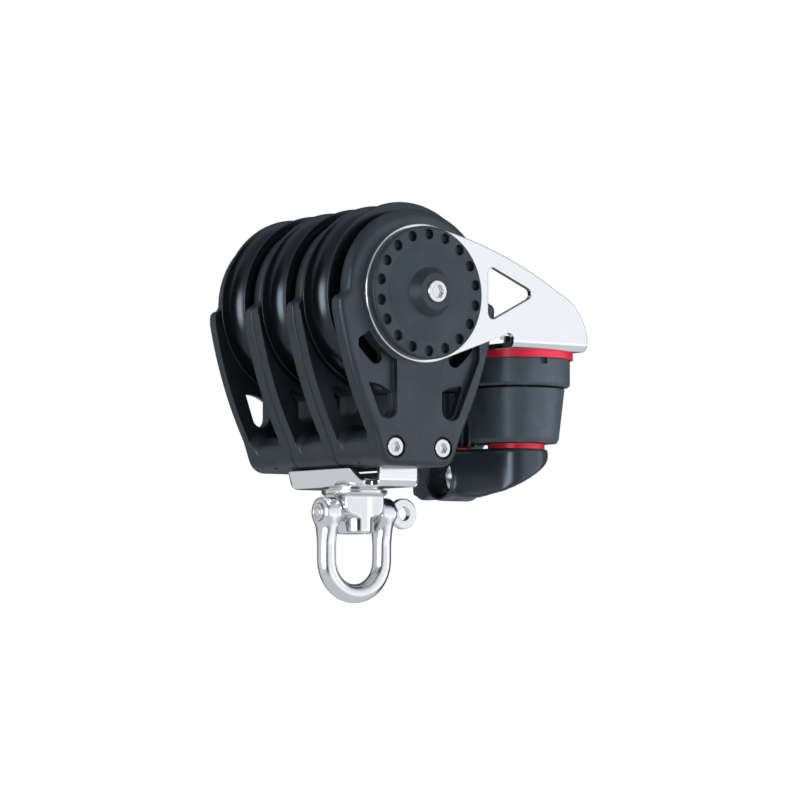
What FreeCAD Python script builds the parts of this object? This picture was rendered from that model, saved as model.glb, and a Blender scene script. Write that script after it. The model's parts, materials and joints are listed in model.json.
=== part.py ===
import FreeCAD, Part
import math
import os

# Triple ball-bearing block with a swivel shackle below and a cam cleat hung under a folded steel arm.
# Lengths are millimetres. The pieces are drawn round the centre of the sheave axle, with +X towards
# the cleat, -Y the near side and +Z up. Each piece is then moved so that the origin lies where a line
# bears on the inside of the shackle bow.

# Sheaves and their bearings
sheave_pitch = 31.0
sheave_rim_r = 38.3
sheave_lip_r = 37.5
sheave_lip_y = 8.4
sheave_half = 9.0
sheave_edge = 0.4
groove_root_r = 29.5
ball_r = 3.15
ball_orbit_r = 20.0
ball_count = 14
ball_play = 0.05
track_half = 4.2
race_shoulder = 1.8
race_lip = 2.6

# Axle
axle_r = 7.5
axle_fit = 0.05
axle_bore_r = 3.0
axle_screw_play = 0.05
axle_screw_length = 28.0
axle_head_r = 4.5
axle_head_height = 2.0
axle_head_sink = 1.0
axle_socket_r = 2.5
axle_end_sink = 1.4

# Cheeks
hub_half = 11.1
unit_half = 15.5
outer_plate_start = 13.0
outer_plate_thick = 6.1
hub_pad_r = 24.0
head_r = 34.8
horn_x = 38.9
horn_z = -2.0
horn_tip_r = 3.0
horn_fillet_r = 3.0
shoulder = (38.8, -8.0)
knee = (33.4, -29.0)
hip = (21.8, -56.7)
rim_flange_r = 39.3
rim_flange_depth = 1.4
edge_round = 2.7
head_round = 4.4
head_round_shift = 1.6
head_round_lead = 0.3
seam_round = 1.2

# Feet of the cheeks and the bolts that tie them
tie_x = 11.7
tie_drop = 62.4
foot_r = 7.6
foot_flare = 3.5
tie_r = 3.0
tie_play = 0.1
tie_head_r = 3.65
tie_head_height = 2.6
tie_recess_r = 4.6
tie_recess_depth = 2.8
tie_socket_r = 1.9
tie_socket_depth = 1.6

# Windows of the cheeks
window_inner_x = 11.0
window_toe = (15.7, -51.2)
window_hip = (20.3, -47.8)
window_shoulder = (30.2, -25.4)
slot_r = 32.6
slot_half = 3.1
slot_from = 33.0
slot_to = 58.4
bar_inner_z = -40.7
bar_peak = (18.2, -37.3)
bar_outer = (24.2, -36.8)
window_step = 0.7
window_depth = 3.0

# Side discs
disc_r = 27.1
disc_rim_height = 2.6
disc_face_height = 3.8
disc_rim_slope = 1.4
disc_dome_start_r = 20.2
disc_dome_height = 4.9
disc_dome_rise = 0.25
disc_boss_base_r = 10.2
disc_boss_top_r = 7.4
disc_boss_height = 9.2
disc_hole_r = 2.2
disc_hole_ring_r = 23.7
disc_hole_count = 18
disc_hole_depth = 2.4

# Cleat arm, one folded sheet
arm_sheet = 2.5
arm_round_r = 28.1
arm_top_start = (9.6, 26.4)
arm_top_mid = (38.0, 18.6)
arm_top_end = (70.0, 3.6)
arm_nose_mid = (80.7, -5.2)
arm_end_x = 84.2
arm_nose_z = -15.0
arm_floor_x = 46.0
arm_under_start = (8.6, -26.75)
arm_under_end = (40.6, -15.3)
arm_notch = (43.3, -16.8)
arm_notch_r = 2.7
arm_bend_r = 3.4
arm_window_corners = [(35.1, 10.0), (52.3, 2.7), (35.1, -6.2)]
arm_window_r = 2.5
arm_drop = 20.0

# Cam cleat
pivot_x = 67.0
pivot_y = 26.0
plate_end_r = 24.0
plate_thick = 2.8
base_end_r = 22.7
base_thick = 11.6
base_round = 1.5
base_notch_x = 64.1
base_notch_width = 4.2
base_notch_height = 2.6
base_notch_depth = 2.0
cam_top_gap = 0.8
cam_height = 22.6
cam_low_gap = 0.3
cam_back_r = 20.4
cam_nose_r = 25.7
cam_taper = 0.88
cam_edge_taper = 0.95
cam_edge_height = 1.6
cam_teeth = 9
cam_tooth_depth = 1.3
cam_spiral_from = -72.0
cam_spiral_to = 12.0
cam_heel = 62.0
post_r = 7.0
post_seat = 2.0
bush_wall = 2.0
bush_play = 0.05
spring_r = 11.2
spring_wire_r = 0.55
spring_pitch = 1.5
spring_turns = 3
spring_well_r = 13.4
spring_well_depth = 7.0
spring_arcs = 8
spring_leg = 3.0
spring_lift = 0.25
washer_r = 12.0
washer_thick = 2.2
cleat_screw_r = 2.9
cleat_hole_r = 3.05
cleat_head_r = 4.2
cleat_head_height = 4.0
cleat_socket_r = 2.3
cleat_seat = 3.3
nut_flat = 10.0
nut_height = 5.0

# Fairlead below the cams
eye_x = 55.0
eye_z = -71.7
eye_r = 6.4
eye_body_r = 11.0
eye_barrel_r = 9.9
eye_barrel_end_x = 63.0
eye_mouth_r = 9.2
eye_throat_x = 54.0
liner_wall = 1.0
liner_lip = 0.9
liner_play = 0.03
pad_r = 13.3
belly_z = -81.6
fairlead_nose = (44.6, -72.5)
fairlead_chin = (46.3, -78.6)
fairlead_low = (51.4, -81.0)
fairlead_slope = (66.6, -71.9)
fairlead_heel_z = -63.6
fairlead_edge = 1.2

# Bracket under the block, one folded sheet
bracket_sheet = 2.3
bracket_depth = 7.4
bracket_floor_x = 13.0
bracket_top_x = 18.2
bracket_wall_y = 26.0
bracket_gap = 0.2
bracket_trim = 3.5
tab_half = 9.25
tab_bend_r = 3.2
ear_half = 16.4
ear_rise = 5.8
ear_neck = 1.2
ear_play = 0.05

# Swivel and shackle, on an axis of their own
swivel_x = 2.3
swivel_shank_r = 5.0
swivel_play = 0.05
swivel_washer_r = 12.0
swivel_washer_thick = 0.6
flange_r = 13.7
flange_thick = 2.2
head_half_x = 9.5
head_half_y = 8.2
head_low = 9.0
head_corner = 4.4
column_r = 5.85
column_half_y = 3.0
column_height = 16.1
column_round = 0.9
swivel_nut_r = 8.0
swivel_nut_thick = 2.2
pin_depth = 10.1
pin_r = 3.2
pin_play = 0.08
shackle_half = 13.9
shackle_rod_r = 3.75
shackle_ear_r = 6.2
shackle_ear_half = 4.0
shackle_taper_start = 1.5
shackle_taper_end = 12.5
bow_reach = 29.9
pin_button_r = 3.5
pin_button = 0.8
pin_ring_r = 2.5
pin_ring_width = 0.5
pin_ring_depth = 0.3
pin_eye_r = 6.4
pin_eye_hole_r = 2.9
pin_eye_thick = 3.0

# Places that follow from the sizes above
outer_face = sheave_pitch + outer_plate_start + outer_plate_thick
arm_inner_y = outer_face
arm_outer_y = arm_inner_y + arm_sheet
race_inner_r = ball_orbit_r - ball_r - ball_play
race_outer_r = ball_orbit_r + ball_r + ball_play
foot_bottom = tie_drop + foot_r
ear_top = tie_drop - ear_rise
bracket_drop = foot_bottom + bracket_depth
pin_z = -(bracket_drop + pin_depth)
bow_low = -pin_z + bow_reach
plate_top = -arm_drop
base_top = plate_top - plate_thick
base_low = base_top - base_thick
cam_top = base_low - cam_top_gap
cam_low = cam_top - cam_height
washer_top = cam_low - cam_low_gap
fairlead_top = washer_top - washer_thick
floor_top = plate_top + arm_sheet
bracket_top = -bracket_drop + bracket_sheet
flange_top = -bracket_drop - swivel_washer_thick
flange_low = flange_top - flange_thick
to_mount = FreeCAD.Vector(-swivel_x, 0, bow_low)
sides = (-1, 1)


def vec(x, y, z):
    return FreeCAD.Vector(x, y, z)


def save(shape, name):
    placed = shape.copy()
    placed.translate(to_mount)
    placed.exportStep("parts/" + name + ".step")


def box(x0, x1, y0, y1, z0, z1):
    low = vec(min(x0, x1), min(y0, y1), min(z0, z1))
    return Part.makeBox(abs(x1 - x0), abs(y1 - y0), abs(z1 - z0), low)


def cylinder_x(r, y, z, x0, x1):
    return Part.makeCylinder(r, abs(x1 - x0), vec(min(x0, x1), y, z), vec(1, 0, 0))


def cylinder_y(r, x, z, y0, y1):
    return Part.makeCylinder(r, abs(y1 - y0), vec(x, min(y0, y1), z), vec(0, 1, 0))


def cylinder_z(r, x, y, z0, z1):
    return Part.makeCylinder(r, abs(z1 - z0), vec(x, y, min(z0, z1)), vec(0, 0, 1))


def hexagon_z(flat, x, y, z0, z1):
    corner = flat / math.sqrt(3)
    points = [vec(x + corner * math.cos(math.radians(60 * k)), y + corner * math.sin(math.radians(60 * k)),
                  min(z0, z1)) for k in range(7)]
    return Part.Face(Part.makePolygon(points)).extrude(vec(0, 0, abs(z1 - z0)))


def hexagon_y(flat, x, z, y0, y1):
    corner = flat / math.sqrt(3)
    points = [vec(x + corner * math.cos(math.radians(60 * k)), min(y0, y1),
                  z + corner * math.sin(math.radians(60 * k))) for k in range(7)]
    return Part.Face(Part.makePolygon(points)).extrude(vec(0, abs(y1 - y0), 0))


def outline(start, steps, to_vector):
    """Closed face from a start point and steps: one point is a line, two points are an arc."""
    edges = []
    here = start
    for step in steps:
        if len(step) == 1:
            edges.append(Part.LineSegment(to_vector(*here), to_vector(*step[0])).toShape())
        else:
            edges.append(Part.Arc(to_vector(*here), to_vector(*step[0]), to_vector(*step[1])).toShape())
        here = step[-1]
    if math.dist(here, start) > 1e-6:
        edges.append(Part.LineSegment(to_vector(*here), to_vector(*start)).toShape())
    return Part.Face(Part.Wire(edges))


def prism_y(start, steps, y0, y1):
    """Side outline in X and Z, carried from y0 to y1."""
    face = outline(start, steps, lambda x, z: vec(x, min(y0, y1), z))
    return face.extrude(vec(0, abs(y1 - y0), 0))


def prism_z(start, steps, z0, z1):
    """Plan outline in X and Y, carried from z0 to z1."""
    face = outline(start, steps, lambda x, y: vec(x, y, min(z0, z1)))
    return face.extrude(vec(0, 0, abs(z1 - z0)))


def turned_y(start, steps, y_centre, facing):
    """Section in radius and distance along Y, turned about the axle."""
    face = outline(start, steps, lambda r, y: vec(r, y_centre + facing * y, 0))
    return face.revolve(vec(0, 0, 0), vec(0, 1, 0), 360)


def rounded_corner(centre, r, toward_a, toward_b):
    """Middle of an arc about a centre, between two directions."""
    x = toward_a[0] + toward_b[0]
    z = toward_a[1] + toward_b[1]
    size = math.hypot(x, z)
    return (centre[0] + r * x / size, centre[1] + r * z / size)


def tangent_point(centre, r, outside, turn):
    """Where a line from an outside point touches a circle."""
    dx = outside[0] - centre[0]
    dz = outside[1] - centre[1]
    angle = math.atan2(dz, dx) + turn * math.acos(r / math.hypot(dx, dz))
    return (centre[0] + r * math.cos(angle), centre[1] + r * math.sin(angle))


def hull_of_two(a, ra, b, rb):
    """Start and steps of the belt line round two circles."""
    dx = b[0] - a[0]
    dz = b[1] - a[1]
    run = math.hypot(dx, dz)
    along = math.atan2(dz, dx)
    lean = math.acos((ra - rb) / run)

    def at(centre, r, angle):
        return (centre[0] + r * math.cos(angle), centre[1] + r * math.sin(angle))
    start = at(a, ra, along + lean)
    steps = [(at(a, ra, along + math.pi), at(a, ra, along - lean)), (at(b, rb, along - lean),),
             (at(b, rb, along), at(b, rb, along + lean))]
    return start, steps


def cheek_outline():
    """Start and steps of a cheek's side view, worked out for +X and mirrored for -X."""
    foot = (tie_x, -tie_drop)
    touch = tangent_point(foot, foot_r, hip, -1)
    outward = ((touch[0] - foot[0]) / foot_r, (touch[1] - foot[1]) / foot_r)
    foot_mid = rounded_corner(foot, foot_r, (0, -1), outward)
    tip = (horn_x - horn_tip_r, horn_z - horn_tip_r)
    reach = head_r + horn_fillet_r
    apart = horn_tip_r + horn_fillet_r
    out = math.hypot(tip[0], tip[1])
    swing = math.acos((reach ** 2 + out ** 2 - apart ** 2) / (2 * reach * out))
    hollow = on_ring(reach, math.degrees(math.atan2(tip[1], tip[0]) + swing))
    upward = ((hollow[0] - tip[0]) / apart, (hollow[1] - tip[1]) / apart)
    inward = (-hollow[0] / reach, -hollow[1] / reach)
    tip_mid = rounded_corner(tip, horn_tip_r, (1, 0), upward)
    tip_end = (tip[0] + horn_tip_r * upward[0], tip[1] + horn_tip_r * upward[1])
    hollow_mid = rounded_corner(hollow, horn_fillet_r, (-upward[0], -upward[1]), inward)
    hollow_end = (hollow[0] + horn_fillet_r * inward[0], hollow[1] + horn_fillet_r * inward[1])

    def flip(point):
        return (-point[0], point[1])
    start = (-tie_x, -foot_bottom)
    steps = [((tie_x, -foot_bottom),), (foot_mid, touch), (hip,), (knee, shoulder), ((horn_x, tip[1]),),
             (tip_mid, tip_end), (hollow_mid, hollow_end), ((0, head_r), flip(hollow_end)),
             (flip(hollow_mid), flip(tip_end)), (flip(tip_mid), flip((horn_x, tip[1]))),
             (flip(shoulder),), (flip(knee), flip(hip)), (flip(touch),), (flip(foot_mid), start)]
    return start, steps


def foot_outline(grow):
    """Start and steps of the closed floor round both tie bolts."""
    r = foot_r + grow
    start = (-tie_x, -tie_drop - r)
    return start, [((tie_x, -tie_drop - r),), ((tie_x + r, -tie_drop), (tie_x, -tie_drop + r)),
                   ((-tie_x, -tie_drop + r),), ((-tie_x - r, -tie_drop), start)]


def outline_face(start, steps, y):
    return outline(start, steps, lambda x, z: vec(x, y, z))


def on_ring(r, degrees):
    return (r * math.cos(math.radians(degrees)), r * math.sin(math.radians(degrees)))


def flip_points(start, steps, side):
    """The same outline, mirrored in X for side -1."""
    def turn(point):
        return (side * point[0], point[1])
    return turn(start), [tuple(turn(point) for point in step) for step in steps]


def window_slot(side, y0, y1):
    """Curved upper opening, concentric with the head."""
    middle = (slot_from + slot_to) / 2
    low = slot_r - slot_half
    high = slot_r + slot_half
    end_angle = math.degrees(slot_half / slot_r)
    first = slot_from + end_angle
    last = slot_to - end_angle
    steps = [(on_ring(low, -middle), on_ring(low, -last)), (on_ring(slot_r, -slot_to), on_ring(high, -last)),
             (on_ring(high, -middle), on_ring(high, -first)), (on_ring(slot_r, -slot_from), on_ring(low, -first))]
    start, steps = flip_points(on_ring(low, -first), steps, side)
    return prism_y(start, steps, y0, y1)


def window_low(side, y0, y1):
    """Lower opening with a slanting top edge and a round toe."""
    x_in = window_inner_x + window_step
    toe = (window_toe[0], window_toe[1] + window_step)
    hip_in = (window_hip[0] - window_step, window_hip[1])
    start = (x_in, bar_inner_z)
    toe_in = (x_in, window_hip[1] + 1.2)
    round_in = ((x_in + toe[0]) / 2 - 0.9, toe[1] + 1.3)
    round_out = ((hip_in[0] + toe[0]) / 2 + 0.7, toe[1] + 1.0)
    steps = [(toe_in,), (round_in, toe), (round_out, hip_in), ((bar_outer[0] - window_step, bar_outer[1]),),
             (bar_peak, start)]
    start, steps = flip_points(start, steps, side)
    return prism_y(start, steps, y0, y1)


def window_pocket(side, y0, y1):
    """Sunk panel that holds both openings and the bar between them."""
    low = slot_r - slot_half
    top_in = (window_inner_x, -math.sqrt(low ** 2 - window_inner_x ** 2))
    round_in = ((window_inner_x + window_toe[0]) / 2 - 1.0, window_toe[1] + 1.4)
    round_out = ((window_hip[0] + window_toe[0]) / 2 + 0.8, window_toe[1] + 1.0)
    steps = [((window_inner_x, window_hip[1] + 1.2),), (round_in, window_toe), (round_out, window_hip),
             (window_shoulder,), (on_ring(slot_r + slot_half, -slot_from),), (on_ring(low, -slot_from),),
             (on_ring(low, -(slot_from + slot_to) / 2), top_in)]
    start, steps = flip_points(top_in, steps, side)
    return prism_y(start, steps, y0, y1)


def ear_recess(y_centre):
    """Room for the bracket's ear, half in each of the two feet that meet on it."""
    half = bracket_sheet / 2 + ear_play
    wide = ear_half + 2 * ear_play
    neck_half = tab_half + 2 * ear_play
    neck_top = -foot_bottom + ear_neck
    near = y_centre - half
    far = y_centre + half
    high = box(-wide, wide, near, far, -ear_top + 2 * ear_play, neck_top)
    neck = box(swivel_x - neck_half, swivel_x + neck_half, near, far, neck_top + 1, -foot_bottom - 1)
    return high.fuse(neck)


def head_corner_tool(y_out, facing):
    """What is taken off the head's rim: most at the top, nothing at the horns."""
    r = head_r + head_round_shift
    bulge = head_round * (1 - math.sqrt(0.5))
    wide = r + head_round
    start = (r + head_round_lead, y_out - facing * head_round)
    steps = [((r - bulge, y_out - facing * bulge), (r - head_round, y_out)), ((r - head_round, y_out + facing),),
             ((wide, y_out + facing),), ((wide, y_out - facing * head_round),)]
    ring = turned_y(start, steps, 0, 1)
    ring.translate(vec(0, 0, -head_round_shift))
    return ring.common(box(-wide, wide, y_out - facing * head_round, y_out + facing, horn_z, wide))


def make_cheek(y_unit, facing, outer, holds_ear):
    """One moulded cheek; facing is the way from its sheave's middle out to the cheek."""
    start, steps = cheek_outline()
    if outer:
        y_in = y_unit + facing * outer_plate_start
        y_out = y_in + facing * outer_plate_thick
    else:
        y_in = y_unit + facing * hub_half
        y_out = y_unit + facing * unit_half
    plate = prism_y(start, steps, y_in, y_out)
    rim = [edge for edge in plate.Edges if abs(edge.CenterOfMass.y - y_out) < 1e-6]
    if outer:
        plate = plate.makeFillet(edge_round, rim).cut(head_corner_tool(y_out, facing))
    else:
        plate = plate.makeFillet(seam_round, rim)
    whole = prism_y(start, steps, y_unit, y_out)
    foot_start, foot_steps = foot_outline(0)
    foot = prism_y(foot_start, foot_steps, y_unit, y_in)
    flare_start, flare_steps = foot_outline(foot_flare)
    wide_end = outline_face(flare_start, flare_steps, y_in).OuterWire
    slim_end = outline_face(foot_start, foot_steps, y_in - facing * foot_flare).OuterWire
    flare = Part.makeLoft([wide_end, slim_end], True, True)
    shape = plate.fuse([foot, flare.common(whole)])
    if outer:
        shape = shape.fuse(cylinder_y(hub_pad_r, 0, 0, y_unit + facing * hub_half, y_in))
    else:
        flange = prism_y(start, steps, y_in, y_in - facing * rim_flange_depth)
        flange = flange.cut(cylinder_y(rim_flange_r, 0, 0, y_in, y_in - facing * rim_flange_depth))
        shape = shape.fuse(flange)
    far_in = y_unit
    far_out = y_out + facing
    cuts = [cylinder_y(axle_r + axle_fit, 0, 0, far_in, far_out)]
    head_seat = y_out - facing * tie_recess_depth
    for side in sides:
        cuts.append(cylinder_y(tie_r + tie_play, side * tie_x, -tie_drop, far_in - facing, far_out))
        cuts.append(window_slot(side, y_in - 3 * facing, far_out))
        cuts.append(window_low(side, y_in - 3 * facing, far_out))
        if outer:
            cuts.append(window_pocket(side, y_out - facing * window_depth, far_out))
            cuts.append(cylinder_y(tie_recess_r, side * tie_x, -tie_drop, head_seat, far_out))
    if holds_ear:
        cuts.append(ear_recess(y_unit))
    return shape.cut(cuts).removeSplitter()


def make_sheave(y_centre):
    """Grooved wheel with a track for the balls in its bore."""
    lip_r = race_outer_r - race_lip
    rim_y = sheave_half - sheave_edge
    flat_r = sheave_rim_r - sheave_edge
    bulge = sheave_edge * (1 - math.sqrt(0.5))
    start = (lip_r, -sheave_half)
    steps = [((flat_r, -sheave_half),), ((sheave_rim_r - bulge, -sheave_half + bulge), (sheave_rim_r, -rim_y)),
             ((sheave_lip_r, -sheave_lip_y),), ((groove_root_r, 0), (sheave_lip_r, sheave_lip_y)),
             ((sheave_rim_r, rim_y),), ((sheave_rim_r - bulge, sheave_half - bulge), (flat_r, sheave_half)),
             ((lip_r, sheave_half),), ((lip_r, track_half),), ((race_outer_r, track_half),),
             ((race_outer_r, -track_half),), ((lip_r, -track_half),)]
    return turned_y(start, steps, y_centre, 1)


def make_hub(y_centre):
    """Inner race, clamped between the two cheeks of its sheave."""
    shoulder_r = race_inner_r + race_shoulder
    bore = axle_r + axle_fit
    start = (bore, -hub_half)
    steps = [((shoulder_r, -hub_half),), ((shoulder_r, -track_half),), ((race_inner_r, -track_half),),
             ((race_inner_r, track_half),), ((shoulder_r, track_half),), ((shoulder_r, hub_half),),
             ((bore, hub_half),)]
    return turned_y(start, steps, y_centre, 1)


def make_balls(y_centre):
    balls = []
    for k in range(ball_count):
        x, z = on_ring(ball_orbit_r, 360 * k / ball_count)
        balls.append(Part.makeSphere(ball_r, vec(x, y_centre, z)))
    return Part.makeCompound(balls)


def make_disc(facing):
    """Side disc with a ring of blind holes and a raised middle."""
    start = (axle_bore_r + axle_fit, 0)
    face_r = disc_r - disc_rim_slope
    dome_mid = ((disc_dome_start_r + disc_boss_base_r) / 2,
                (disc_face_height + disc_dome_height) / 2 + disc_dome_rise)
    steps = [((disc_r, 0),), ((disc_r, disc_rim_height),),
             ((disc_r - 0.4, disc_face_height - 0.35), (face_r, disc_face_height)),
             ((disc_dome_start_r, disc_face_height),), (dome_mid, (disc_boss_base_r, disc_dome_height)),
             ((disc_boss_top_r, disc_boss_height),), ((axle_bore_r + axle_fit, disc_boss_height),)]
    disc = turned_y(start, steps, facing * arm_outer_y, facing)
    socket_end = arm_outer_y + axle_end_sink + 0.1
    cuts = [cylinder_y(axle_r + axle_fit, 0, 0, facing * arm_outer_y, facing * socket_end)]
    top = facing * (arm_outer_y + disc_boss_height)
    cuts.append(cylinder_y(axle_head_r + 0.1, 0, 0, top - facing * axle_head_sink, top + facing))
    face = facing * (arm_outer_y + disc_face_height)
    for k in range(disc_hole_count):
        x, z = on_ring(disc_hole_ring_r, 90 + 360 * k / disc_hole_count)
        cuts.append(cylinder_y(disc_hole_r, x, z, face - facing * disc_hole_depth, face + facing))
    return disc.cut(cuts)


def make_axle():
    end = arm_outer_y + axle_end_sink
    rod = cylinder_y(axle_r, 0, 0, -end, end)
    for side in sides:
        rod = rod.cut(cylinder_y(axle_bore_r, 0, 0, side * end, side * (end - axle_screw_length)))
    return rod


def make_axle_screw(facing):
    seat = arm_outer_y + disc_boss_height - axle_head_sink
    tip = arm_outer_y + axle_end_sink - axle_screw_length + 2
    screw = cylinder_y(axle_bore_r - axle_screw_play, 0, 0, facing * tip, facing * seat)
    top = facing * (seat + axle_head_height)
    head = cylinder_y(axle_head_r, 0, 0, facing * seat, top)
    rim = [edge for edge in head.Edges if abs(edge.CenterOfMass.y - top) < 1e-6]
    head = head.makeFillet(0.6, rim)
    return screw.fuse(head).cut(hexagon_y(2 * axle_socket_r, 0, 0, top - facing * 1.4, top + facing))


def make_tie_bolts():
    """Two bolts from the near cheek to the far one."""
    bolts = []
    seat = outer_face - tie_recess_depth
    for side in sides:
        x = side * tie_x
        shank = cylinder_y(tie_r, x, -tie_drop, -seat, seat - 0.4)
        head = cylinder_y(tie_head_r, x, -tie_drop, -seat - tie_head_height, -seat)
        top = -seat - tie_head_height
        socket = hexagon_y(2 * tie_socket_r, x, -tie_drop, top - 1, top + tie_socket_depth)
        bolts.append(shank.fuse(head).cut(socket))
    return Part.makeCompound(bolts)


def make_tie_nuts():
    """Round nuts in the far cheek, with a socket like the bolts' heads."""
    nuts = []
    seat = outer_face - tie_recess_depth
    for side in sides:
        x = side * tie_x
        top = seat + tie_head_height
        nut = cylinder_y(tie_head_r, x, -tie_drop, seat, top)
        nuts.append(nut.cut(hexagon_y(2 * tie_socket_r, x, -tie_drop, top + 1, top - tie_socket_depth)))
    return Part.makeCompound(nuts)


def make_arm():
    """Folded sheet: two side plates on the axle and a floor between them that carries the cleat."""
    low = -arm_drop
    steps = [(arm_top_mid, arm_top_end), (arm_nose_mid, (arm_end_x, arm_nose_z)), ((arm_end_x, low),),
             ((arm_floor_x, low),), ((arm_floor_x, arm_notch[1]),),
             ((arm_notch[0], arm_notch[1] + arm_notch_r), (arm_notch[0] - arm_notch_r, arm_notch[1])),
             (arm_under_end,), (arm_under_start,), ((-arm_round_r, 0), arm_top_start)]
    block = prism_y(arm_top_start, steps, -arm_outer_y, arm_outer_y)
    bends = [edge for edge in block.Edges if abs(edge.CenterOfMass.z - low) < 1e-6
             and abs(abs(edge.CenterOfMass.y) - arm_outer_y) < 1e-6]
    block = block.makeFillet(arm_bend_r, bends)
    room = box(-arm_round_r - 1, arm_end_x + 1, -arm_inner_y, arm_inner_y, floor_top, arm_round_r + 1)
    inside = [edge for edge in room.Edges if abs(edge.CenterOfMass.z - floor_top) < 1e-6
              and abs(abs(edge.CenterOfMass.y) - arm_inner_y) < 1e-6]
    room = room.makeFillet(arm_bend_r - arm_sheet, inside)
    open_end = box(-arm_round_r - 1, arm_floor_x, -arm_inner_y, arm_inner_y, -arm_round_r - 1, floor_top + 5)
    cuts = [room, open_end, cylinder_y(axle_r + axle_fit, 0, 0, -arm_outer_y - 1, arm_outer_y + 1)]
    a, b, c = arm_window_corners
    for first, second in ((a, b), (b, c), (c, a)):
        start, belt = hull_of_two(first, arm_window_r, second, arm_window_r)
        cuts.append(prism_y(start, belt, -arm_outer_y - 1, arm_outer_y + 1))
    cuts.append(prism_y(a, [(b,), (c,)], -arm_outer_y - 1, arm_outer_y + 1))
    for side in sides:
        cuts.append(cylinder_z(cleat_hole_r, pivot_x, side * pivot_y, low - 1, floor_top + 1))
    return block.cut(cuts).removeSplitter()


def cleat_stadium(r, z0, z1):
    start = (pivot_x - r, -pivot_y)
    steps = [((pivot_x, -pivot_y - r), (pivot_x + r, -pivot_y)), ((pivot_x + r, pivot_y),),
             ((pivot_x, pivot_y + r), (pivot_x - r, pivot_y))]
    return prism_z(start, steps, z0, z1)


def make_cleat_plate():
    plate = cleat_stadium(plate_end_r, base_top, plate_top)
    for side in sides:
        plate = plate.cut(cylinder_z(cleat_hole_r, pivot_x, side * pivot_y, base_top - 1, plate_top + 1))
    return plate


def make_cleat_base():
    """Riser that seats the cam posts."""
    base = cleat_stadium(base_end_r, base_low, base_top)
    rim = [edge for edge in base.Edges if abs(edge.CenterOfMass.z - base_low) < 1e-6]
    base = base.makeFillet(base_round, rim)
    cuts = []
    for side in sides:
        y = side * pivot_y
        cuts.append(cylinder_z(cleat_hole_r, pivot_x, y, base_low - 1, base_top + 1))
        cuts.append(cylinder_z(post_r + bush_play, pivot_x, y, base_low - 1, base_low + post_seat))
        end = side * (pivot_y + base_end_r)
        half = base_notch_width / 2
        cuts.append(box(base_notch_x - half, base_notch_x + half, end - side * base_notch_depth, end + side,
                        base_top - base_notch_height, base_top + 1))
    return base.cut(cuts)


def cam_outline(scale, z, side):
    """Plan of a cam at one height: round back, spiral of teeth towards the other cam, heel."""
    def at(r, degrees):
        angle = math.radians(degrees)
        return vec(pivot_x + scale * r * math.sin(angle), side * (pivot_y - scale * r * math.cos(angle)), z)
    span = cam_spiral_to - cam_spiral_from

    def spiral(share):
        return cam_back_r + (cam_nose_r - cam_back_r) * share
    points = []
    for k in range(cam_teeth):
        share = k / cam_teeth
        valley = (k + 0.55) / cam_teeth
        points.append(at(spiral(share), cam_spiral_from + span * share))
        points.append(at(spiral(valley) - cam_tooth_depth, cam_spiral_from + span * valley))
    points.append(at(cam_nose_r, cam_spiral_to))
    edges = [Part.LineSegment(points[k], points[k + 1]).toShape() for k in range(len(points) - 1)]
    heel = at(cam_back_r, cam_heel)
    edges.append(Part.LineSegment(points[-1], heel).toShape())
    back_middle = (cam_heel + cam_spiral_from + 360) / 2
    edges.append(Part.Arc(heel, at(cam_back_r, back_middle), points[0]).toShape())
    return Part.Wire(edges)


def make_cam(side):
    """Toothed cam; the well above its bush holds the spring."""
    edge_z = cam_low + cam_edge_height
    main = Part.makeLoft([cam_outline(1, cam_top, side), cam_outline(cam_taper, edge_z, side)], True, True)
    edge = Part.makeLoft([cam_outline(cam_taper, edge_z, side),
                          cam_outline(cam_taper * cam_edge_taper, cam_low, side)], True, True)
    y = side * pivot_y
    cam = main.fuse(edge)
    bore = cylinder_z(post_r + bush_wall, pivot_x, y, cam_low - 1, cam_top + 1)
    well = cylinder_z(spring_well_r, pivot_x, y, cam_top - spring_well_depth, cam_top + 1)
    return cam.cut([bore, well])


def make_bush(side):
    y = side * pivot_y
    bush = cylinder_z(post_r + bush_wall - bush_play, pivot_x, y, cam_low, cam_top)
    return bush.cut(cylinder_z(post_r + bush_play, pivot_x, y, cam_low - 1, cam_top + 1))


def make_spring(side):
    """Coil of arcs with a straight leg at each end, lying in the well of its cam."""
    low = cam_top - spring_well_depth + spring_wire_r + spring_lift
    centre = vec(pivot_x, side * pivot_y, low)

    def on_coil(turn):
        x, y = on_ring(spring_r, 360 * turn)
        return centre + vec(x, y, spring_pitch * turn)
    along = vec(0, 2 * math.pi * spring_r, spring_pitch).normalize()
    start = on_coil(0) - along * spring_leg
    edges = [Part.LineSegment(start, on_coil(0)).toShape()]
    step = 1 / spring_arcs
    for k in range(spring_turns * spring_arcs):
        edges.append(Part.Arc(on_coil(k * step), on_coil((k + 0.5) * step), on_coil((k + 1) * step)).toShape())
    end = on_coil(spring_turns)
    edges.append(Part.LineSegment(end, end + along * spring_leg).toShape())
    section = Part.Wire(Part.makeCircle(spring_wire_r, start, along))
    return Part.Wire(edges).makePipeShell([section], True, False)


def make_posts():
    posts = []
    for side in sides:
        y = side * pivot_y
        post = cylinder_z(post_r, pivot_x, y, fairlead_top, base_low + post_seat)
        hole = cylinder_z(cleat_hole_r, pivot_x, y, fairlead_top - 1, base_low + post_seat + 1)
        posts.append(post.cut(hole))
    return Part.makeCompound(posts)


def make_washers():
    washers = []
    for side in sides:
        y = side * pivot_y
        washer = cylinder_z(washer_r, pivot_x, y, fairlead_top, washer_top)
        hole = cylinder_z(post_r + bush_play, pivot_x, y, fairlead_top - 1, washer_top + 1)
        washers.append(washer.cut(hole))
    return Part.makeCompound(washers)


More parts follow.
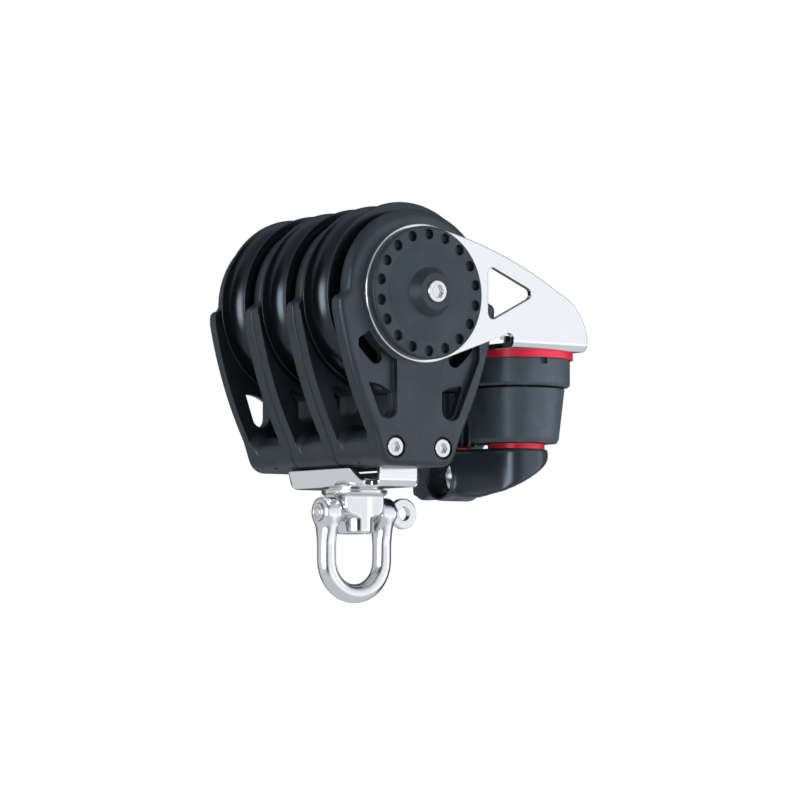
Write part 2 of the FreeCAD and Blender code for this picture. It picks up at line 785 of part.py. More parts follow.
def make_fairlead():
    """Two pads on the cam posts, drawn together and down into an eye."""
    start = (fairlead_nose[0], fairlead_top)
    heel = pivot_x + pad_r
    steps = [(fairlead_nose,), (fairlead_chin, fairlead_low), (fairlead_slope, (heel, fairlead_heel_z)),
             ((heel, fairlead_top),)]
    reach = pivot_y + pad_r
    wedge = prism_y(start, steps, -reach, reach)
    plan = None
    for side in sides:
        belt_start, belt = hull_of_two((eye_x, 0), eye_body_r, (pivot_x, side * pivot_y), pad_r)
        arm = prism_z(belt_start, belt, belly_z - 1, fairlead_top)
        plan = arm if plan is None else plan.fuse(arm)
    nose_x = fairlead_nose[0]
    barrel = cylinder_x(eye_barrel_r, 0, eye_z, nose_x, eye_barrel_end_x)
    ends = [edge for edge in barrel.Edges if edge.Closed]
    barrel = barrel.makeFillet(fairlead_edge, ends)
    body = wedge.common(plan.removeSplitter()).fuse(barrel)
    mouth = Part.makeCone(eye_mouth_r, eye_r + liner_wall, eye_throat_x - nose_x, vec(nose_x, 0, eye_z),
                          vec(1, 0, 0))
    lip_r = eye_r + liner_wall + liner_lip + liner_play
    cuts = [cylinder_x(eye_r + liner_wall, 0, eye_z, nose_x - 1, heel + 1), mouth,
            cylinder_x(lip_r, 0, eye_z, eye_barrel_end_x, heel + 1)]
    for side in sides:
        y = side * pivot_y
        cuts.append(cylinder_z(cleat_hole_r, pivot_x, y, belly_z, fairlead_top + 1))
        cuts.append(cylinder_z(cleat_head_r + 0.4, pivot_x, y, belly_z, fairlead_top - cleat_seat))
    return body.cut(cuts)


def make_liner():
    """Steel ring in the eye, with a small lip at both mouths."""
    x0 = eye_throat_x
    x1 = eye_barrel_end_x
    outer_r = eye_r + liner_wall
    ring = cylinder_x(outer_r - liner_play, 0, eye_z, x0, x1)
    lip = cylinder_x(outer_r + liner_lip, 0, eye_z, x1, x1 + liner_wall)
    return ring.fuse(lip).cut(cylinder_x(eye_r, 0, eye_z, x0 - 1, x1 + liner_wall + 1))


def make_cleat_screws():
    screws = []
    seat = fairlead_top - cleat_seat
    for side in sides:
        y = side * pivot_y
        shank = cylinder_z(cleat_screw_r, pivot_x, y, seat, floor_top + nut_height + 1)
        head = cylinder_z(cleat_head_r, pivot_x, y, seat - cleat_head_height, seat)
        low = seat - cleat_head_height
        screws.append(shank.fuse(head).cut(hexagon_z(2 * cleat_socket_r, pivot_x, y, low - 1, low + 2.2)))
    return Part.makeCompound(screws)


def make_cleat_nuts():
    nuts = []
    for side in sides:
        y = side * pivot_y
        nut = hexagon_z(nut_flat, pivot_x, y, floor_top, floor_top + nut_height)
        nuts.append(nut.cut(cylinder_z(cleat_hole_r, pivot_x, y, floor_top - 1, floor_top + nut_height + 1)))
    return Part.makeCompound(nuts)


def make_bracket():
    """Folded sheet: a tray with slanting side walls, and end tabs that rise into the outer feet."""
    low = -bracket_drop
    wall_top = -foot_bottom - bracket_gap
    lean = math.atan2(bracket_top_x - bracket_floor_x, wall_top - low)
    across = bracket_sheet / math.cos(lean)
    inner_floor = bracket_floor_x - across + bracket_sheet * math.tan(lean)
    x = swivel_x
    start = (x - bracket_floor_x, low)
    steps = [((x + bracket_floor_x, low),), ((x + bracket_top_x, wall_top),),
             ((x + bracket_top_x - across, wall_top),),
             ((x + inner_floor, bracket_top),), ((x - inner_floor, bracket_top),),
             ((x - bracket_top_x + across, wall_top),), ((x - bracket_top_x, wall_top),)]
    tray = prism_y(start, steps, -bracket_wall_y, bracket_wall_y)
    bends = [edge for edge in tray.Edges if abs(edge.CenterOfMass.z - low) < 1e-6
             and abs(abs(edge.CenterOfMass.x - x) - bracket_floor_x) < 1e-6]
    tray = tray.makeFillet(bracket_sheet, bends)
    for side in sides:
        corner = outline((side * bracket_wall_y, bracket_top), [((side * bracket_wall_y, wall_top),),
                         ((side * (bracket_wall_y - bracket_trim), wall_top),)], lambda y, z: vec(x - 20, y, z))
        tray = tray.cut(corner.extrude(vec(40, 0, 0)))
    half = bracket_sheet / 2
    pieces = []
    for side in sides:
        y = side * sheave_pitch
        y_out = y + side * half
        strip = box(x - tab_half, x + tab_half, side * (bracket_wall_y - 1), y_out, low, bracket_top)
        tab = box(x - tab_half, x + tab_half, y - half, y + half, low, -foot_bottom + ear_neck)
        foot = strip.fuse(tab).removeSplitter()
        bend = [edge for edge in foot.Edges if abs(edge.CenterOfMass.z - low) < 1e-6
                and abs(edge.CenterOfMass.y - y_out) < 1e-6]
        foot = foot.makeFillet(tab_bend_r, bend)
        ear = box(-ear_half, ear_half, y - half, y + half, -foot_bottom + ear_neck, -ear_top)
        pieces.extend([foot, ear])
    shape = tray.fuse(pieces)
    cuts = [cylinder_z(swivel_shank_r + swivel_play, x, 0, low - 1, bracket_top + 1)]
    for side in sides:
        y0 = side * (sheave_pitch - 2)
        y1 = side * (sheave_pitch + 2)
        for bolt in sides:
            cuts.append(cylinder_y(tie_r + tie_play, bolt * tie_x, -tie_drop, y0, y1))
    return shape.cut(cuts).removeSplitter()


def make_swivel_head():
    """Flange on the swivel axis, shoulders and a tang for the shackle pin."""
    x = swivel_x
    shank = cylinder_z(swivel_shank_r, x, 0, flange_low, bracket_top + swivel_nut_thick)
    flange = cylinder_z(flange_r, x, 0, flange_low, flange_top)
    rim = [edge for edge in flange.Edges if abs(edge.CenterOfMass.z - flange_low) < 1e-6]
    flange = flange.makeFillet(0.8, rim)
    low = flange_low - head_low
    shoulders = box(x - head_half_x, x + head_half_x, -head_half_y, head_half_y, low, flange_low)
    corners = [edge for edge in shoulders.Edges if abs(edge.CenterOfMass.z - low) < 1e-6
               and abs(edge.CenterOfMass.y) < 1e-6]
    shoulders = shoulders.makeFillet(head_corner, corners)
    start = (x - column_r, -column_half_y)
    steps = [((x, -column_half_y - column_r), (x + column_r, -column_half_y)), ((x + column_r, column_half_y),),
             ((x, column_half_y + column_r), (x - column_r, column_half_y))]
    column_low = flange_low - column_height
    column = prism_z(start, steps, column_low, flange_low)
    rim = [edge for edge in column.Edges if abs(edge.CenterOfMass.z - column_low) < 1e-6]
    column = column.makeFillet(column_round, rim)
    hole = cylinder_x(pin_r + pin_play, 0, pin_z, x - head_half_x - 1, x + head_half_x + 1)
    return shank.fuse([flange, shoulders, column]).cut(hole).removeSplitter()


def make_swivel_washer():
    x = swivel_x
    washer = cylinder_z(swivel_washer_r, x, 0, flange_top, -bracket_drop)
    return washer.cut(cylinder_z(swivel_shank_r + swivel_play, x, 0, flange_top - 1, -bracket_drop + 1))


def make_swivel_nut():
    """Ring riveted on the shank inside the tray; it turns with the swivel."""
    x = swivel_x
    low = bracket_top + swivel_play
    nut = cylinder_z(swivel_nut_r, x, 0, low, bracket_top + swivel_nut_thick)
    rim = [edge for edge in nut.Edges if abs(edge.CenterOfMass.z - bracket_top - swivel_nut_thick) < 1e-6]
    nut = nut.makeChamfer(0.5, rim)
    return nut.cut(cylinder_z(swivel_shank_r + 0.01, x, 0, low - 1, bracket_top + swivel_nut_thick + 1))


def shackle_taper(x):
    """Flattened neck between an ear and the round leg below it."""
    sections = []
    for wide, thick, depth in ((shackle_ear_r, shackle_ear_half, shackle_taper_start),
                               (shackle_rod_r + 0.02, shackle_rod_r + 0.01, shackle_taper_end)):
        z = pin_z - depth
        ellipse = Part.Ellipse(vec(x, wide, z), vec(x + thick, 0, z), vec(x, 0, z))
        sections.append(Part.Wire(ellipse.toShape()))
    return Part.makeLoft(sections, True, True)


def make_shackle_bow():
    """Forged bow: round bar bent to a U, with a flat ear at each end."""
    x = swivel_x
    turn_z = -bow_low - shackle_rod_r + shackle_half
    left = vec(x - shackle_half, 0, pin_z)
    right = vec(x + shackle_half, 0, pin_z)
    left_turn = vec(x - shackle_half, 0, turn_z)
    right_turn = vec(x + shackle_half, 0, turn_z)
    bottom = vec(x, 0, turn_z - shackle_half)
    path = Part.Wire([Part.LineSegment(left, left_turn).toShape(),
                      Part.Arc(left_turn, bottom, right_turn).toShape(),
                      Part.LineSegment(right_turn, right).toShape()])
    section = Part.Wire(Part.makeCircle(shackle_rod_r, left, vec(0, 0, -1)))
    bow = path.makePipeShell([section], True, False)
    ears = []
    holes = []
    for side in sides:
        inner = x + side * (shackle_half - shackle_ear_half)
        outer = x + side * (shackle_half + shackle_ear_half)
        ear = cylinder_x(shackle_ear_r, 0, pin_z, inner, outer)
        rims = [edge for edge in ear.Edges if abs(edge.CenterOfMass.x - outer) < 1e-6]
        ears.append(ear.makeFillet(0.9, rims))
        ears.append(shackle_taper(x + side * shackle_half))
        holes.append(cylinder_x(pin_r + pin_play, 0, pin_z, inner - side, outer + side))
    return bow.fuse(ears).cut(holes).removeSplitter()


def make_shackle_pin():
    """Screw pin: button on the near end, flat eye to turn it by on the other."""
    x = swivel_x
    outer = shackle_half + shackle_ear_half
    pin = cylinder_x(pin_r, 0, pin_z, x - outer - 0.1, x + outer + 2)
    button = cylinder_x(pin_button_r, 0, pin_z, x - outer - 0.1 - pin_button, x - outer - 0.1)
    eye_centre = x + outer + 0.1 + pin_eye_r
    eye = cylinder_y(pin_eye_r, eye_centre, pin_z, -pin_eye_thick / 2, pin_eye_thick / 2)
    rims = [edge for edge in eye.Edges if abs(abs(edge.CenterOfMass.y) - pin_eye_thick / 2) < 1e-6]
    eye = eye.makeFillet(0.6, rims)
    face = x - outer - 0.1 - pin_button
    ring = cylinder_x(pin_ring_r, 0, pin_z, face - 1, face + pin_ring_depth)
    ring = ring.cut(cylinder_x(pin_ring_r - pin_ring_width, 0, pin_z, face - 1, face + 1))
    whole = pin.fuse([button, eye])
    return whole.cut([ring, cylinder_y(pin_eye_hole_r, eye_centre, pin_z, -pin_eye_thick, pin_eye_thick)])


def main():
    os.makedirs("parts", exist_ok=True)
    for name, facing, outer in (("outer", -1, True), ("inner", 1, False)):
        cheek = make_cheek(-sheave_pitch, facing, outer, True)
        save(cheek, "cheek_near_" + name)
        save(cheek.mirror(vec(0, 0, 0), vec(0, 1, 0)), "cheek_far_" + name)
    cheek = make_cheek(0, -1, False, False)
    save(cheek, "cheek_middle_near")
    cheek.rotate(vec(0, 0, 0), vec(0, 0, 1), 180)
    save(cheek, "cheek_middle_far")
    for name, y in (("near", -sheave_pitch), ("middle", 0), ("far", sheave_pitch)):
        save(make_sheave(y), "sheave_" + name)
        save(make_hub(y), "inner_race_" + name)
        save(make_balls(y), "balls_" + name)
    for name, facing in (("near", -1), ("far", 1)):
        save(make_disc(facing), "side_disc_" + name)
        save(make_axle_screw(facing), "axle_screw_" + name)
        save(make_cam(facing), "cam_" + name)
        save(make_bush(facing), "cam_bush_" + name)
        save(make_spring(facing), "cam_spring_" + name)
    save(make_axle(), "axle")
    save(make_tie_bolts(), "tie_bolts")
    save(make_tie_nuts(), "tie_nuts")
    save(make_arm(), "cleat_arm")
    save(make_cleat_plate(), "cleat_plate")
    save(make_cleat_base(), "cleat_base")
    save(make_posts(), "cam_posts")
    save(make_washers(), "cam_washers")
    save(make_fairlead(), "fairlead")
    save(make_liner(), "fairlead_liner")
    save(make_cleat_screws(), "cleat_screws")
    save(make_cleat_nuts(), "cleat_nuts")
    save(make_bracket(), "bracket")
    save(make_swivel_head(), "swivel_head")
    save(make_swivel_washer(), "swivel_washer")
    save(make_swivel_nut(), "swivel_nut")
    save(make_shackle_bow(), "shackle_bow")
    save(make_shackle_pin(), "shackle_pin")


main()
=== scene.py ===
import bpy
import json
import math
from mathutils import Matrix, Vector

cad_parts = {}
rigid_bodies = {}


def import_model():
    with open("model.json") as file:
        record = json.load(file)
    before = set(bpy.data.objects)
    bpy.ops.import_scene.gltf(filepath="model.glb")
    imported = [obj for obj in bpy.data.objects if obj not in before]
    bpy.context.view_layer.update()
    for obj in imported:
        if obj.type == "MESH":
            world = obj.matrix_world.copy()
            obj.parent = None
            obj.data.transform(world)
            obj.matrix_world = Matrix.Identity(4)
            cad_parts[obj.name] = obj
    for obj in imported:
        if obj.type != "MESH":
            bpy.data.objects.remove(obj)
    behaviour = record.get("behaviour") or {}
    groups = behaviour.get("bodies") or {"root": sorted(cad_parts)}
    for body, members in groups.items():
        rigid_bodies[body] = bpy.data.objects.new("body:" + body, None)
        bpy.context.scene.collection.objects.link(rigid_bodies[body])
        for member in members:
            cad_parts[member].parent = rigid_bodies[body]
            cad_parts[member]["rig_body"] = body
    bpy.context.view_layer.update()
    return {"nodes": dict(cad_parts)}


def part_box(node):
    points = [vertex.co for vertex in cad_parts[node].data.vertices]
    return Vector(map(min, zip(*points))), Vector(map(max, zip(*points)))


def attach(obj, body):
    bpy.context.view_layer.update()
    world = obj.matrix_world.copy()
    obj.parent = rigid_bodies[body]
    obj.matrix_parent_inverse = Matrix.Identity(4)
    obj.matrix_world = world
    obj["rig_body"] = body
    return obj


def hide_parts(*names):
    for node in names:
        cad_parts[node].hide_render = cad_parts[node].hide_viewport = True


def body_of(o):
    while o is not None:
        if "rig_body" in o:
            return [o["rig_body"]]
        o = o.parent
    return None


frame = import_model()

MM = 0.001
ROWS = ("near", "middle", "far")
ENDS = ("near", "far")

# Lower corners of the bracket's ears, measured from the middle of the axle
EAR_HALF = 16.4 * MM
EAR_LOW = -68.8 * MM
EAR_TRIM = 1.0 * MM
EAR_REACH = 0.3 * MM

# In a copy of a node, closer points are joined, and edges past so many degrees stay sharp
WELD = 0.001 * MM
SHARP_ANGLE = 30.0

# Edge radii that only the light shows, and depths of relief
# Width of the paler edges on mouldings, partly rubbed wear and partly a painted highlight
WEAR_AND_HIGHLIGHT_EDGE = 0.5 * MM
MOULDED_EDGE = 0.7 * MM
TURNED_EDGE = 0.4 * MM
MACHINED_EDGE = 0.6 * MM
SHEET_EDGE = 0.9 * MM
CAST_EDGE = 1.6 * MM
FORGED_EDGE = 2.2 * MM
GRAIN_DEPTH = 0.1 * MM
WAVE_DEPTH = 0.4 * MM

# Colours and tints
WHITE = (1.0, 1.0, 1.0, 1.0)
COOL = (0.76, 1.0, 1.24)
COOL_GLOSS = (0.88, 1.0, 1.14, 1.0)
COOL_ROOM = (0.98, 1.0, 1.04, 1.0)
STEEL_HAZY = (0.985, 1.0, 1.02)
STEEL_CLEAR = (0.99, 1.0, 1.01)
# Paler black along turned edges, partly rubbed wear and partly a painted highlight on the rims
WORN_AND_HIGHLIT_BLACK = 0.09
RED_DEEP = (0.76, 0.02, 0.062, 1.0)
RED_FULL = (0.86, 0.03, 0.074, 1.0)
BALL_LOW = (0.74, 0.74, 0.70, 1.0)
BALL_HIGH = (0.8, 0.8, 0.77, 1.0)
BUSH_LOW = (0.70, 0.70, 0.67, 1.0)
BUSH_HIGH = (0.76, 0.76, 0.73, 1.0)

# Camera: place in metres, turn in degrees, lens and sensor in millimetres
CAMERA_PLACE = (-0.7884, -1.1544, -0.0138)
CAMERA_TURN = (93.713, -0.065, -35.111)
CAMERA_LENS = 151.2
CAMERA_SENSOR = 36.0
CAMERA_REACH = 50.0

# Floor and lamps, in metres
FLOOR_HEIGHT = -0.16
FLOOR_SIZE = 14.0
LAMP_TARGET = Vector((0.03, 0.0, 0.08))
LAMP_DISTANCE = 1.5
LAMP_SIDE = 0.9

# Strength of the floor and of the room around the part, where 1 is white
FLOOR_GLOW = 0.9
ROOM_GLOW = 0.62
CEILING_DROP = 0.3
PLAIN_GLOW = 0.1


class Wire:
    """A node's output that takes part in arithmetic."""

    def __init__(self, finish, socket):
        self.finish = finish
        self.socket = socket

    def maths(self, operation, first, second):
        return self.finish.node("Math", {"operation": operation}, {0: first, 1: second})

    def __add__(self, other):
        return self.maths("ADD", self, other)

    def __radd__(self, other):
        return self.maths("ADD", other, self)

    def __sub__(self, other):
        return self.maths("SUBTRACT", self, other)

    def __rsub__(self, other):
        return self.maths("SUBTRACT", other, self)

    def __mul__(self, other):
        return self.maths("MULTIPLY", self, other)

    def __rmul__(self, other):
        return self.maths("MULTIPLY", other, self)


class Finish:
    """A material or world under construction, with one method that makes its nodes."""

    def __init__(self, owner):
        owner.use_nodes = True
        self.owner = owner
        self.tree = owner.node_tree
        self.tree.nodes.clear()

    def node(self, kind, settings=None, values=None, output=0):
        made = self.tree.nodes.new("ShaderNode" + kind)
        for name, value in (settings or {}).items():
            setattr(made, name, value)
        for name, value in (values or {}).items():
            socket = made.inputs[name]
            if isinstance(value, Wire):
                self.tree.links.new(value.socket, socket)
            else:
                socket.default_value = value
        return Wire(self, made.outputs[output]) if made.outputs else None

    def mix_colours(self, share, first, second):
        return self.node("Mix", {"data_type": "RGBA"}, {0: share, 6: first, 7: second}, output=2)

    def dot(self, first, second):
        return self.node("VectorMath", {"operation": "DOT_PRODUCT"}, {0: first, 1: second}, output="Value")

    def rays(self, kind):
        """1 for one kind of ray, 0 for the others."""
        return self.node("LightPath", output=f"Is {kind} Ray")

    def noise(self, scale, detail=2.0, roughness=0.5):
        return self.node("TexNoise", None, {
            "Vector": self.node("TexCoord", output="Object"), "Scale": scale, "Detail": detail,
            "Roughness": roughness})

    def ramp(self, share, low, high):
        """0 below low, 1 above high, smooth between them."""
        return self.node("MapRange", {"interpolation_type": "SMOOTHSTEP"},
                         {"Value": share, "From Min": low, "From Max": high})

    def soft_edge(self, radius):
        """The surface's direction, with every edge rounded by so much."""
        return self.node("Bevel", {"samples": 6}, {"Radius": radius})

    def edge_wear_and_highlight(self, radius):
        """1 along the edges, which are made pale partly as rubbed wear and partly as a painted highlight, 0
        on open surfaces.
        """
        facing = self.dot(self.soft_edge(radius), self.node("NewGeometry", output="Normal"))
        return self.ramp(1.0 - facing, 0.02, 0.16)

    def relief(self, height, strength, depth, normal=None):
        """The surface's direction, tilted by small bumps."""
        values = {"Strength": strength, "Distance": depth, "Height": height}
        if normal:
            values["Normal"] = normal
        return self.node("Bump", None, values)

    def close(self, values):
        """Ends a material with its shader and gives the material back."""
        surface = self.node("BsdfPrincipled", None, values)
        self.node("OutputMaterial", None, {"Surface": surface})
        return self.owner


def grey(level, tint=(1.0, 1.0, 1.0)):
    return (level * tint[0], level * tint[1], level * tint[2], 1.0)


def new_finish(name):
    return Finish(bpy.data.materials.new(name))


def moulding(name, level, grain, rough, relief):
    """Black glass-filled nylon: fine grain, cloudy gloss, faint pale fibres, paler edges that are partly
    rubbed wear and partly a painted highlight.
    """
    finish = new_finish(name)
    cloud = finish.noise(90.0, detail=3.0)
    fine = finish.noise(grain, detail=4.0, roughness=0.65)
    fibres = finish.ramp(finish.noise(grain * 0.55), 0.66, 0.72)
    colour = finish.mix_colours(finish.ramp(cloud, 0.3, 0.7),
                                grey(level * 0.82, COOL), grey(level * 1.15, COOL))
    colour = finish.mix_colours(fibres * 0.35, colour, grey(level * 2.6, COOL))
    # Paler edges: partly rubbed wear, partly a painted highlight along the rims
    colour = finish.mix_colours(finish.edge_wear_and_highlight(WEAR_AND_HIGHLIGHT_EDGE) * cloud, colour, grey(level * 3.0, COOL))
    return finish.close({
        "Base Color": colour, "Roughness": rough - 0.05 + fine * 0.1,
        "Normal": finish.relief(fine, relief, GRAIN_DEPTH, finish.soft_edge(MOULDED_EDGE)),
        "Specular IOR Level": 0.5, "Specular Tint": COOL_GLOSS})


def smooth_black(name, level, rough, haze, shine):
    """Turned or polished black part: nearly smooth, with hazy handling marks in its gloss."""
    finish = new_finish(name)
    cloud = finish.noise(60.0, detail=3.0)
    marks = finish.noise(260.0, detail=3.0, roughness=0.6)
    colour = finish.mix_colours(cloud, grey(level * 0.85, COOL), grey(level * 1.15, COOL))
    # Paler edges: partly rubbed wear, partly a painted highlight along the rims
    colour = finish.mix_colours(finish.edge_wear_and_highlight(TURNED_EDGE), colour, grey(WORN_AND_HIGHLIT_BLACK, COOL))
    return finish.close({
        "Base Color": colour, "Roughness": rough + (marks - 0.5) * haze,
        "Normal": finish.soft_edge(TURNED_EDGE),
        "Specular IOR Level": shine, "Specular Tint": COOL_GLOSS})


def steel(name, level, rough, wave, edge=MACHINED_EDGE):
    """Polished stainless steel: faint polishing haze and a slight waviness."""
    finish = new_finish(name)
    haze = finish.noise(150.0, detail=4.0, roughness=0.6)
    fine = finish.noise(2600.0)
    roll = finish.noise(38.0, detail=1.0)
    return finish.close({
        "Base Color": finish.mix_colours(haze, grey(level * 0.96, STEEL_HAZY), grey(level, STEEL_CLEAR)),
        "Metallic": 1.0, "Roughness": rough + (haze - 0.5) * 0.08,
        "Normal": finish.relief(roll + fine * 0.02, wave, WAVE_DEPTH, finish.soft_edge(edge))})


def red_plastic(name):
    """Glossy red moulding with a barely uneven skin."""
    finish = new_finish(name)
    cloud = finish.noise(70.0, detail=3.0)
    fine = finish.noise(900.0, detail=3.0)
    return finish.close({
        "Base Color": finish.mix_colours(cloud, RED_DEEP, RED_FULL), "Roughness": 0.3 + fine * 0.08,
        "Normal": finish.relief(fine, 0.1, GRAIN_DEPTH)})


def pale_plastic(name, low, high):
    """Off-white bearing plastic."""
    finish = new_finish(name)
    cloud = finish.noise(300.0, detail=3.0)
    return finish.close({
        "Base Color": finish.mix_colours(cloud, low, high), "Roughness": 0.3 + cloud * 0.1})


def make_camera():
    data = bpy.data.cameras.new("view")
    data.lens = CAMERA_LENS
    data.sensor_width = CAMERA_SENSOR
    data.clip_end = CAMERA_REACH
    camera = bpy.data.objects.new("view", data)
    bpy.context.scene.collection.objects.link(camera)
    camera.location = CAMERA_PLACE
    camera.rotation_euler = [math.radians(angle) for angle in CAMERA_TURN]
    bpy.context.scene.camera = camera


def toward(azimuth, elevation):
    """Unit vector from an azimuth and an elevation in degrees."""
    turn = math.radians(azimuth)
    lift = math.radians(elevation)
    return Vector((math.cos(lift) * math.cos(turn), math.cos(lift) * math.sin(turn), math.sin(lift)))


def make_lamp(name, direction, watts, width=LAMP_SIDE, height=LAMP_SIDE):
    """Soft lamp that faces the middle of the part. Gloss sees the walls of the room instead of it."""
    data = bpy.data.lights.new(name, "AREA")
    data.shape = "RECTANGLE"
    data.size = width
    data.size_y = height
    data.energy = watts
    lamp = bpy.data.objects.new(name, data)
    bpy.context.scene.collection.objects.link(lamp)
    lamp.location = LAMP_TARGET + direction * LAMP_DISTANCE
    lamp.rotation_euler = direction.to_track_quat("Z", "Y").to_euler()
    lamp.visible_glossy = False


def make_lamps():
    make_lamp("front_box", toward(-62.0, 10.0), watts=15.0, width=1.1, height=1.0)
    make_lamp("left_card", toward(160.0, 15.0), watts=4.0)
    make_lamp("back_box", toward(125.0, 35.0), watts=7.0)
    make_lamp("top_box", toward(-50.0, 66.0), watts=10.0)


class Room(Finish):
    """The room around the part, which the polished and glossy pieces reflect."""

    def __init__(self, world):
        super().__init__(world)
        heading = self.node("VectorMath", {"operation": "NORMALIZE"},
                            {0: self.node("TexCoord", output="Generated")})
        level = self.node("VectorMath", {"operation": "MULTIPLY"}, {0: heading, 1: (1.0, 1.0, 0.0)})
        self.height = self.node("SeparateXYZ", None, {"Vector": heading}, output="Z")
        self.bearing = self.node("VectorMath", {"operation": "NORMALIZE"}, {0: level})

    def wall(self, amount, azimuth, inner, outer, heights):
        """A part of the room with soft borders: amount inside it and 0 outside.

        It is full within inner degrees of its azimuth and gone past outer degrees. The first two
        heights are where it starts and is full, the last two where it begins to fade and is gone.
        A height is the sine of an elevation.
        """
        facing = self.dot(self.bearing, tuple(toward(azimuth, 0.0)))
        across = self.ramp(facing, math.cos(math.radians(outer)), math.cos(math.radians(inner)))
        start, full, fade, end = heights
        upright = self.ramp(self.height, start, full) * (1.0 - self.ramp(self.height, fade, end))
        return across * upright * amount


def make_world():
    """White behind the part. Gloss sees a pale room with a bright box at the left and dark sides."""
    room = Room(bpy.data.worlds.new("studio"))
    bpy.context.scene.world = room.owner
    # Each with its amount, azimuth, inner and outer degrees, and heights
    left_wall = room.wall(0.3, -172.0, 20.0, 30.0, (-0.4, -0.2, 0.25, 0.5))
    front_wall = room.wall(0.35, -75.0, 26.0, 34.0, (-0.5, -0.26, 0.3, 0.6))
    left_box = room.wall(5.6, -157.0, 9.0, 19.0, (-0.34, -0.14, 0.18, 0.4))
    right_box = room.wall(0.9, -30.0, 8.0, 17.0, (-0.35, -0.2, 0.25, 0.45))
    low_box = room.wall(0.25, -62.0, 32.0, 42.0, (-0.42, -0.3, -0.14, -0.03))
    lens_side = room.wall(0.94, -126.0, 18.0, 25.0, (-0.52, -0.2, 0.5, 0.7))
    far_side = room.wall(0.86, 46.0, 58.0, 70.0, (-0.5, -0.36, 0.7, 0.9))
    ceiling = room.ramp(room.height, 0.4, 0.8)
    gloss = ROOM_GLOW - CEILING_DROP * ceiling + front_wall + left_wall
    gloss = gloss * (1.0 - lens_side) * (1.0 - far_side)
    gloss = gloss + left_box + right_box + low_box
    glossy = room.rays("Glossy")
    seen = room.node("Math", {"operation": "MAXIMUM"},
                     {0: room.rays("Camera"), 1: room.rays("Transmission")})
    strength = seen + (1.0 - seen) * (gloss * glossy + (1.0 - glossy) * PLAIN_GLOW)
    lit = room.node("Background", None, {
        "Color": room.mix_colours(seen, COOL_ROOM, WHITE), "Strength": strength})
    room.node("OutputWorld", None, {"Surface": lit})


def make_floor():
    """White floor that keeps the part's shadow. Metal reflects the lower room in its place."""
    bpy.ops.object.select_all(action="DESELECT")
    bpy.ops.mesh.primitive_plane_add(size=FLOOR_SIZE, location=(0.0, 0.0, FLOOR_HEIGHT))
    floor = bpy.context.object
    floor.name = "floor"
    finish = new_finish("floor_white")
    floor.data.materials.append(finish.close({
        "Base Color": finish.mix_colours(finish.noise(3.0), grey(0.86), grey(0.9)), "Roughness": 0.9,
        "Emission Color": WHITE, "Emission Strength": finish.rays("Camera") * FLOOR_GLOW}))
    floor.visible_glossy = False


def each(stem, places):
    return [stem + "_" + place for place in places]


def dress(names, material):
    """Gives CAD nodes their finish."""
    for name in names:
        node = frame["nodes"][name]
        if not node.material_slots:
            node.data.materials.append(material)
        for slot in node.material_slots:
            slot.material = material


def dress_block():
    """Cheeks and discs, sheaves and their bearings."""
    cheeks = [name for name in frame["nodes"] if name.startswith("cheek_")]
    dress(cheeks, moulding("cheek_nylon", level=0.03, grain=1500.0, rough=0.4, relief=0.2))
    dress(each("side_disc", ENDS), moulding("disc_nylon", level=0.032, grain=1700.0, rough=0.5, relief=0.25))
    dress(each("sheave", ROWS), smooth_black("sheave_turned", level=0.008, rough=0.22, haze=0.06, shine=0.6))
    dress(each("inner_race", ROWS), smooth_black("race_black", level=0.02, rough=0.35, haze=0.1, shine=0.5))
    dress(each("balls", ROWS), pale_plastic("ball_white", BALL_LOW, BALL_HIGH))


def dress_cleat():
    """Cams with their base, bushes and springs, the red plate and washers, and the fairlead."""
    # The cams' black is set paler than the cheeks' to paint in the broad sheen of the light
    cam = moulding("cam_nylon", level=0.078, grain=1700.0, rough=0.42, relief=0.15)
    dress(each("cam", ENDS) + ["cleat_base"], cam)
    dress(each("cam_bush", ENDS), pale_plastic("bush_white", BUSH_LOW, BUSH_HIGH))
    dress(each("cam_spring", ENDS), steel("spring_wire", level=0.7, rough=0.28, wave=0.05))
    dress(["cleat_plate", "cam_washers"], red_plastic("red_moulding"))
    dress(["fairlead"], smooth_black("fairlead_black", level=0.046, rough=0.24, haze=0.12, shine=0.5))


def dress_steel():
    """Folded sheets, swivel and shackle, and what holds the block together."""
    fastener = steel("bright_fastener", level=0.84, rough=0.16, wave=0.05)
    dress(["axle", "tie_bolts", "tie_nuts"] + each("axle_screw", ENDS), fastener)
    dress(["cleat_screws", "cleat_nuts", "cam_posts", "fairlead_liner"], fastener)
    sheet = steel("polished_sheet", level=0.93, rough=0.1, wave=0.02, edge=SHEET_EDGE)
    dress(["cleat_arm", "bracket"], sheet)
    dress(["swivel_head"], steel("polished_casting", level=0.84, rough=0.12, wave=0.1, edge=CAST_EDGE))
    forging = steel("polished_forging", level=0.86, rough=0.13, wave=0.12)
    dress(["swivel_washer", "swivel_nut", "shackle_pin"], forging)
    dress(["shackle_bow"], steel("forged_bow", level=0.84, rough=0.12, wave=0.14, edge=FORGED_EDGE))


def merged_copy(name):
    """Copy of a CAD node with its loose triangles joined, alone selected."""
    bpy.ops.object.select_all(action="DESELECT")
    piece = bpy.data.objects.new(name + "_shown", frame["nodes"][name].data.copy())
    bpy.context.scene.collection.objects.link(piece)
    piece.select_set(True)
    bpy.context.view_layer.objects.active = piece
    bpy.ops.object.mode_set(mode="EDIT")
    bpy.ops.mesh.select_all(action="SELECT")
    bpy.ops.mesh.remove_doubles(threshold=WELD)
    bpy.ops.object.mode_set(mode="OBJECT")
    return piece


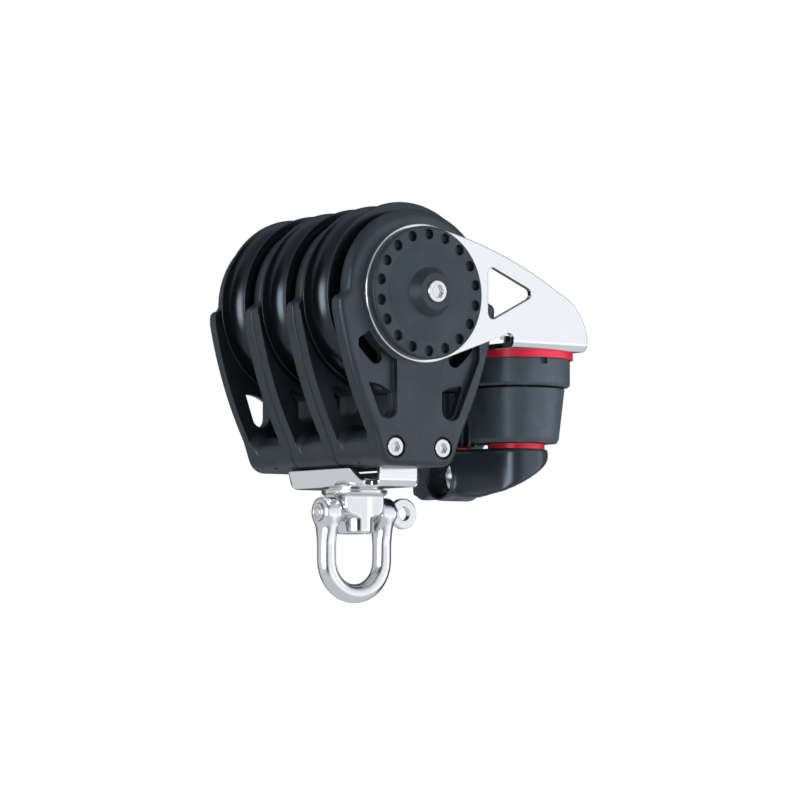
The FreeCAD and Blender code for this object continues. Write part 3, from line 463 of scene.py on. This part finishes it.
def stand_in(piece, name):
    """Shows the piece in the CAD node's place, on the same body."""
    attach(piece, body_of(frame["nodes"][name])[0])
    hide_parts(name)


def trim_bracket_ears():
    """Draws in the lower corners of the bracket's ears, so that they stay inside the cheeks' round feet."""
    piece = merged_copy("bracket")
    lowest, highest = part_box("axle")
    axle = (lowest + highest) / 2.0
    for side in (-1.0, 1.0):
        bpy.ops.object.mode_set(mode="EDIT")
        bpy.ops.mesh.select_all(action="DESELECT")
        bpy.ops.object.mode_set(mode="OBJECT")
        for corner in piece.data.vertices:
            at_side = abs(corner.co.x - axle.x - side * EAR_HALF) < EAR_REACH
            corner.select = at_side and abs(corner.co.z - axle.z - EAR_LOW) < EAR_REACH
        bpy.ops.object.mode_set(mode="EDIT")
        bpy.ops.transform.translate(value=(-side * EAR_TRIM, 0.0, 0.0))
        bpy.ops.object.mode_set(mode="OBJECT")
    bpy.ops.object.shade_smooth_by_angle(angle=math.radians(SHARP_ANGLE))
    stand_in(piece, "bracket")


def remould(name, voxel, passes, swell):
    """Merged copy of a CAD node with its edges melted round, as forging and moulding leave them.

    It is meshed anew on a grid of voxel, smoothed so many passes, and swollen by what the smoothing
    took off.
    """
    piece = merged_copy(name)
    grid = piece.modifiers.new("grid", "REMESH")
    grid.mode = "VOXEL"
    grid.voxel_size = voxel
    melt = piece.modifiers.new("melt", "SMOOTH")
    melt.factor = 0.5
    melt.iterations = passes
    fill = piece.modifiers.new("fill", "DISPLACE")
    fill.mid_level = 0.0
    fill.strength = swell
    for modifier in ("grid", "melt", "fill"):
        bpy.ops.object.modifier_apply(modifier=modifier)
    bpy.ops.object.shade_smooth()
    stand_in(piece, name)


make_camera()
make_lamps()
make_world()
make_floor()
dress_block()
dress_cleat()
dress_steel()
trim_bracket_ears()
remould("shackle_bow", voxel=0.5 * MM, passes=34, swell=0.25 * MM)
remould("swivel_head", voxel=0.4 * MM, passes=14, swell=0.08 * MM)
remould("fairlead", voxel=0.6 * MM, passes=40, swell=0.15 * MM)
bpy.context.scene.view_settings.view_transform = "Standard"
